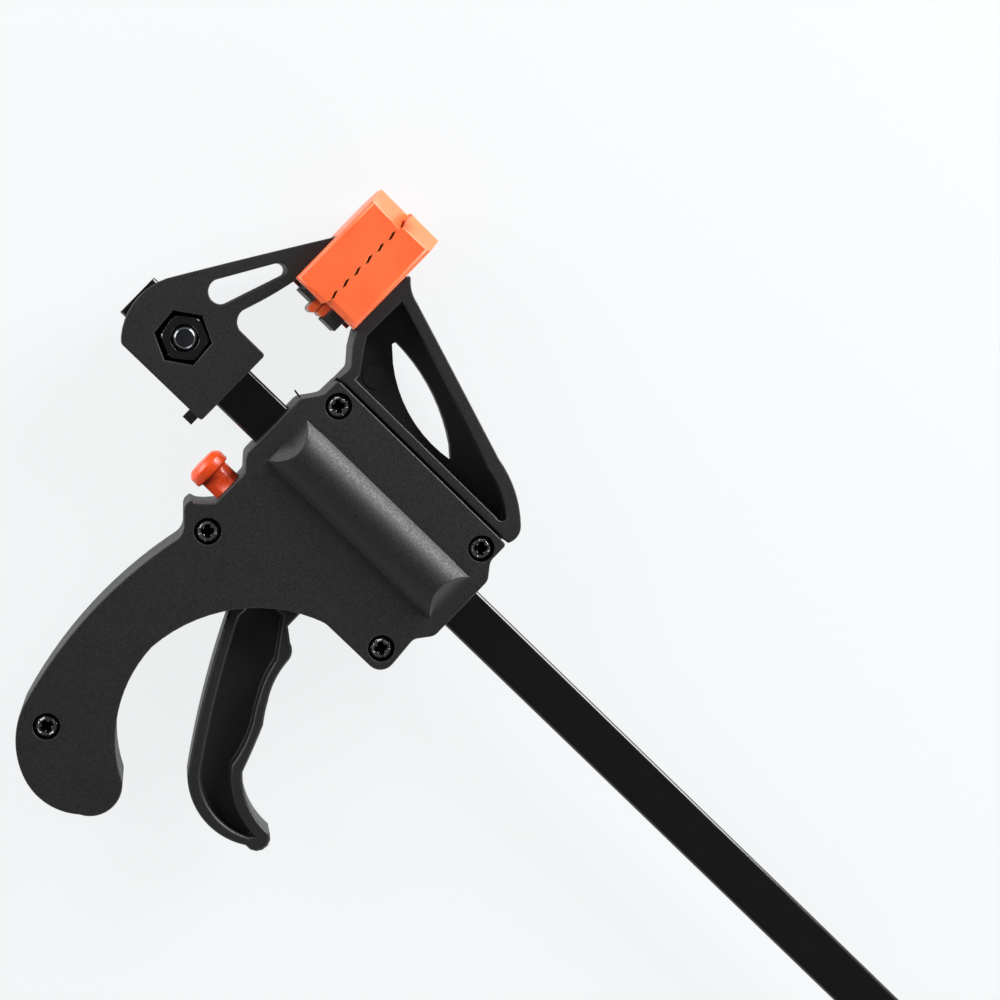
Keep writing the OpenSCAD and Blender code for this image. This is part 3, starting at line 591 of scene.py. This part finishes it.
def steel(name, dark, light, metallic, rough, stretch, line_mm, depth):
    """A steel with lines drawn along X where stretch is above 1, and uneven gloss."""
    finish, tree, shader, place = new_finish(name)
    drawn = add_node(tree, "ShaderNodeMapping", {"Vector": place,
                                                 "Scale": (1 / stretch, 1.0, 1.0)})
    lines = add_node(tree, "ShaderNodeTexNoise", {"Vector": drawn.outputs[0],
                                                  "Scale": 1 / (line_mm * MM), "Detail": 3.0})
    stain = add_node(tree, "ShaderNodeTexNoise", {"Vector": place, "Scale": 1 / (STAIN_MM * MM),
                                                  "Detail": 4.0})
    colour = add_node(tree, "ShaderNodeMix", {FACTOR: stain.outputs[0], FIRST: linear(dark),
                                              SECOND: linear(light)}, data_type="RGBA")
    gloss = add_node(tree, "ShaderNodeMapRange", {"Value": stain.outputs[0],
                                                  "From Min": NOISE_LOW, "From Max": NOISE_HIGH,
                                                  "To Min": rough * GLOSSIEST,
                                                  "To Max": rough * DULLEST})
    bump = add_node(tree, "ShaderNodeBump", {"Height": lines.outputs[0], "Strength": 0.3,
                                             "Distance": depth * MM})
    tree.links.new(colour.outputs[MIXED], shader.inputs["Base Color"])
    tree.links.new(gloss.outputs[0], shader.inputs["Roughness"])
    tree.links.new(bump.outputs[0], shader.inputs["Normal"])
    shader.inputs["Metallic"].default_value = metallic
    return finish


# %% Painted bar and dark fasteners
painted = steel("drawn_steel_gloss_black_paint", "#0C0C0D", "#121213",
                metallic=0.0, rough=0.14, stretch=40, line_mm=0.3, depth=0.006)
coat(painted, bar)
blackened = steel("heat_blackened_oiled_steel", "#050505", "#0B0B0C",
                  metallic=0.0, rough=0.12, stretch=1, line_mm=0.5, depth=0.012)
# Its index lies between that of oil, 1.5, and that of the black oxide, 2.4.
blackened.node_tree.nodes["Principled BSDF"].inputs["IOR"].default_value = 1.9
coat(blackened, nut)
zinc_black = steel("black_zinc_plated_steel", "#5E6064", "#76787C",
                   metallic=1.0, rough=0.18, stretch=1, line_mm=0.4, depth=0.012)
coat(zinc_black, bolt)

# %% Pins, plates and springs
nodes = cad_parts
ground = steel("ground_pin_steel", "#8E9093", "#A4A6A9",
               metallic=1.0, rough=0.22, stretch=1, line_mm=0.15, depth=0.004)
coat(ground, nodes["trigger_pin"], nodes["stop_pin"])
hardened = steel("hardened_plate_steel_oiled", "#6C6E72", "#85878B",
                 metallic=1.0, rough=0.34, stretch=6, line_mm=0.2, depth=0.01)
coat(hardened, nodes["drive_plate_1"], nodes["drive_plate_2"], nodes["brake_plate"])
sprung = steel("spring_steel_wire_drawn", "#A7AAAE", "#C2C5C9",
               metallic=1.0, rough=0.24, stretch=1, line_mm=0.1, depth=0.004)
coat(sprung, *springs)

# %% [markdown]
# The cross in a screw's head is a deep recess, and its shade is painted: it is near black however
# bright the head is. The same plating gets a second mix that turns dark from 0.4 to 0.8 mm under
# the head's top, where only the recess and the shaded rim are.

# %% Painted shade in the screws' crosses
# The painted shade starts at the first depth and is full at the second.
UNSHADED_TO, FULL_SHADE_FROM = 0.4, 0.8    # depths under the head's top, in mm

screw_zinc = steel("black_zinc_plated_steel_painted_recess_shade", "#84868A", "#A0A2A6",
                   metallic=1.0, rough=0.16, stretch=1, line_mm=0.4, depth=0.012)
tree = screw_zinc.node_tree
shader = tree.nodes["Principled BSDF"]
plating = shader.inputs["Base Color"].links[0].from_socket
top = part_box("casing_screw_1")[1].z
place = add_node(tree, "ShaderNodeTexCoord").outputs["Object"]
height = add_node(tree, "ShaderNodeSeparateXYZ", {0: place}).outputs["Z"]
unshaded = add_node(tree, "ShaderNodeMapRange", {"Value": height, "To Min": 0.0, "To Max": 1.0,
                                              "From Min": top - FULL_SHADE_FROM * MM,
                                              "From Max": top - UNSHADED_TO * MM})
# The dark colour is painted shade in the recess and on the head's shaded rim.
colour = add_node(tree, "ShaderNodeMix", {FACTOR: unshaded.outputs[0], FIRST: linear("#0A0A0B"),
                                          SECOND: plating}, data_type="RGBA")
tree.links.new(colour.outputs[MIXED], shader.inputs["Base Color"])
coat(screw_zinc, *screws)

# %% [markdown]
# ## Camera, floor and light
# The camera looks almost straight down on the cover, 41 cm above the floor, through a long
# lens. The main light is a soft box beyond the jaws, low enough to rake over the faces. Two
# weak fills from the sides and a dim dome keep flat black faces dark, while every edge that
# turns to the light shows.

# %% Camera
LENS_MM = 86.058
CAMERA_AT = (-29.635, 1.977, 400.353)               # mm from the casing's origin
CAMERA_TURN = (-4.759169, -8.048727, 44.595746)     # degrees

lens = bpy.data.cameras.new("portrait")
lens.sensor_width = 36.0
lens.lens = LENS_MM
lens.clip_start = 0.01
camera = bpy.data.objects.new("portrait", lens)
bpy.context.scene.collection.objects.link(camera)
camera.location = at(*CAMERA_AT)
camera.rotation_euler = [math.radians(a) for a in CAMERA_TURN]
bpy.context.scene.camera = camera
print("camera above the floor, mm:", round(camera.location.z / MM, 1))

# %% [markdown]
# The floor is white paper. To the camera and in reflections it glows a little, so that it
# stays white however soft the lamps are, and what is left of its own colour takes the shadow.
# To all other light it is plain paper.

# %% Floor
FLOOR_SIZE = 12.0             # metres, so that its edge is out of sight
FLOOR_GAP = 0.02              # mm under the part, so that the two don't flicker together
GLOW = 0.86                   # where 1 would be white without any lamp

bpy.ops.mesh.primitive_plane_add(size=FLOOR_SIZE, location=(0, 0, -FLOOR_GAP * MM))
floor = bpy.context.active_object
floor.name = "studio_floor"
paper, tree, shader, place = new_finish("white_background_paper")
shader.inputs["Roughness"].default_value = 0.8
rays = add_node(tree, "ShaderNodeLightPath")
seen = add_node(tree, "ShaderNodeMath", {0: rays.outputs["Is Camera Ray"],
                                         1: rays.outputs["Is Glossy Ray"]}, operation="MAXIMUM")
seen = add_node(tree, "ShaderNodeMath", {0: seen.outputs[0],
                                         1: rays.outputs["Is Transmission Ray"]},
                operation="MAXIMUM")
glow = add_node(tree, "ShaderNodeMath", {0: seen.outputs[0], 1: GLOW}, operation="MULTIPLY")
sheet = add_node(tree, "ShaderNodeMix", {FACTOR: seen.outputs[0], FIRST: linear("#F2F3F4"),
                                         SECOND: linear("#464748")}, data_type="RGBA")
tree.links.new(sheet.outputs[MIXED], shader.inputs["Base Color"])
shader.inputs["Emission Color"].default_value = linear("#FAFCFD")
tree.links.new(glow.outputs[0], shader.inputs["Emission Strength"])
coat(paper, floor)

# %% [markdown]
# The room is a dome that is bright at the horizon and dim overhead, as a white-walled studio
# with its ceiling lights off. That keeps upright faces readable and flat black ones dark. The
# camera itself sees the dome as white, so that it goes with the paper in a low view.

# %% Room
LOW, HIGH = 0.05, 0.7         # sines of the angles over the horizon between which it fades
HORIZON, ZENITH = 0.95, 0.1

world = bpy.data.worlds.new("studio_room")
bpy.context.scene.world = world
world.use_nodes = True
tree = world.node_tree
sky = tree.nodes["Background"]
way = add_node(tree, "ShaderNodeTexCoord").outputs["Generated"]
split = add_node(tree, "ShaderNodeSeparateXYZ", {0: way})
fade = add_node(tree, "ShaderNodeMapRange", {"Value": split.outputs["Z"], "From Min": LOW,
                                             "From Max": HIGH, "To Min": HORIZON,
                                             "To Max": ZENITH})
rays = add_node(tree, "ShaderNodeLightPath")
strength = add_node(tree, "ShaderNodeMath", {0: fade.outputs[0],
                                             1: rays.outputs["Is Camera Ray"]},
                    operation="MAXIMUM")
sky.inputs["Color"].default_value = (1.0, 1.0, 1.0, 1.0)
tree.links.new(strength.outputs[0], sky.inputs["Strength"])
print("dome: from", HORIZON, "at the horizon to", ZENITH, "overhead")


# %% Lamps
def add_lamp(name, place, aim, size, watts):
    """A square soft box at place that shines towards aim."""
    data = bpy.data.lights.new(name, "AREA")
    data.size = size
    data.energy = watts
    lamp = bpy.data.objects.new(name, data)
    bpy.context.scene.collection.objects.link(lamp)
    lamp.location = place
    lamp.rotation_euler = (Vector(aim) - Vector(place)).to_track_quat("-Z", "Y").to_euler()
    print(f"{name}: {watts} W, {(place - aim).length:.2f} m away")


middle = at(10, -5, 0)        # the lamps' offsets from here are in metres
add_lamp("soft_box_beyond_jaws", middle + Vector((0.08, 0.62, 0.16)), middle,
         size=0.46, watts=11.2)
add_lamp("side_fill", middle + Vector((-0.62, -0.2, 0.24)), middle, size=0.5, watts=5.0)
add_lamp("far_fill", middle + Vector((0.62, -0.2, 0.16)), middle, size=0.4, watts=2.0)

bpy.context.scene.view_settings.view_transform = "Standard"
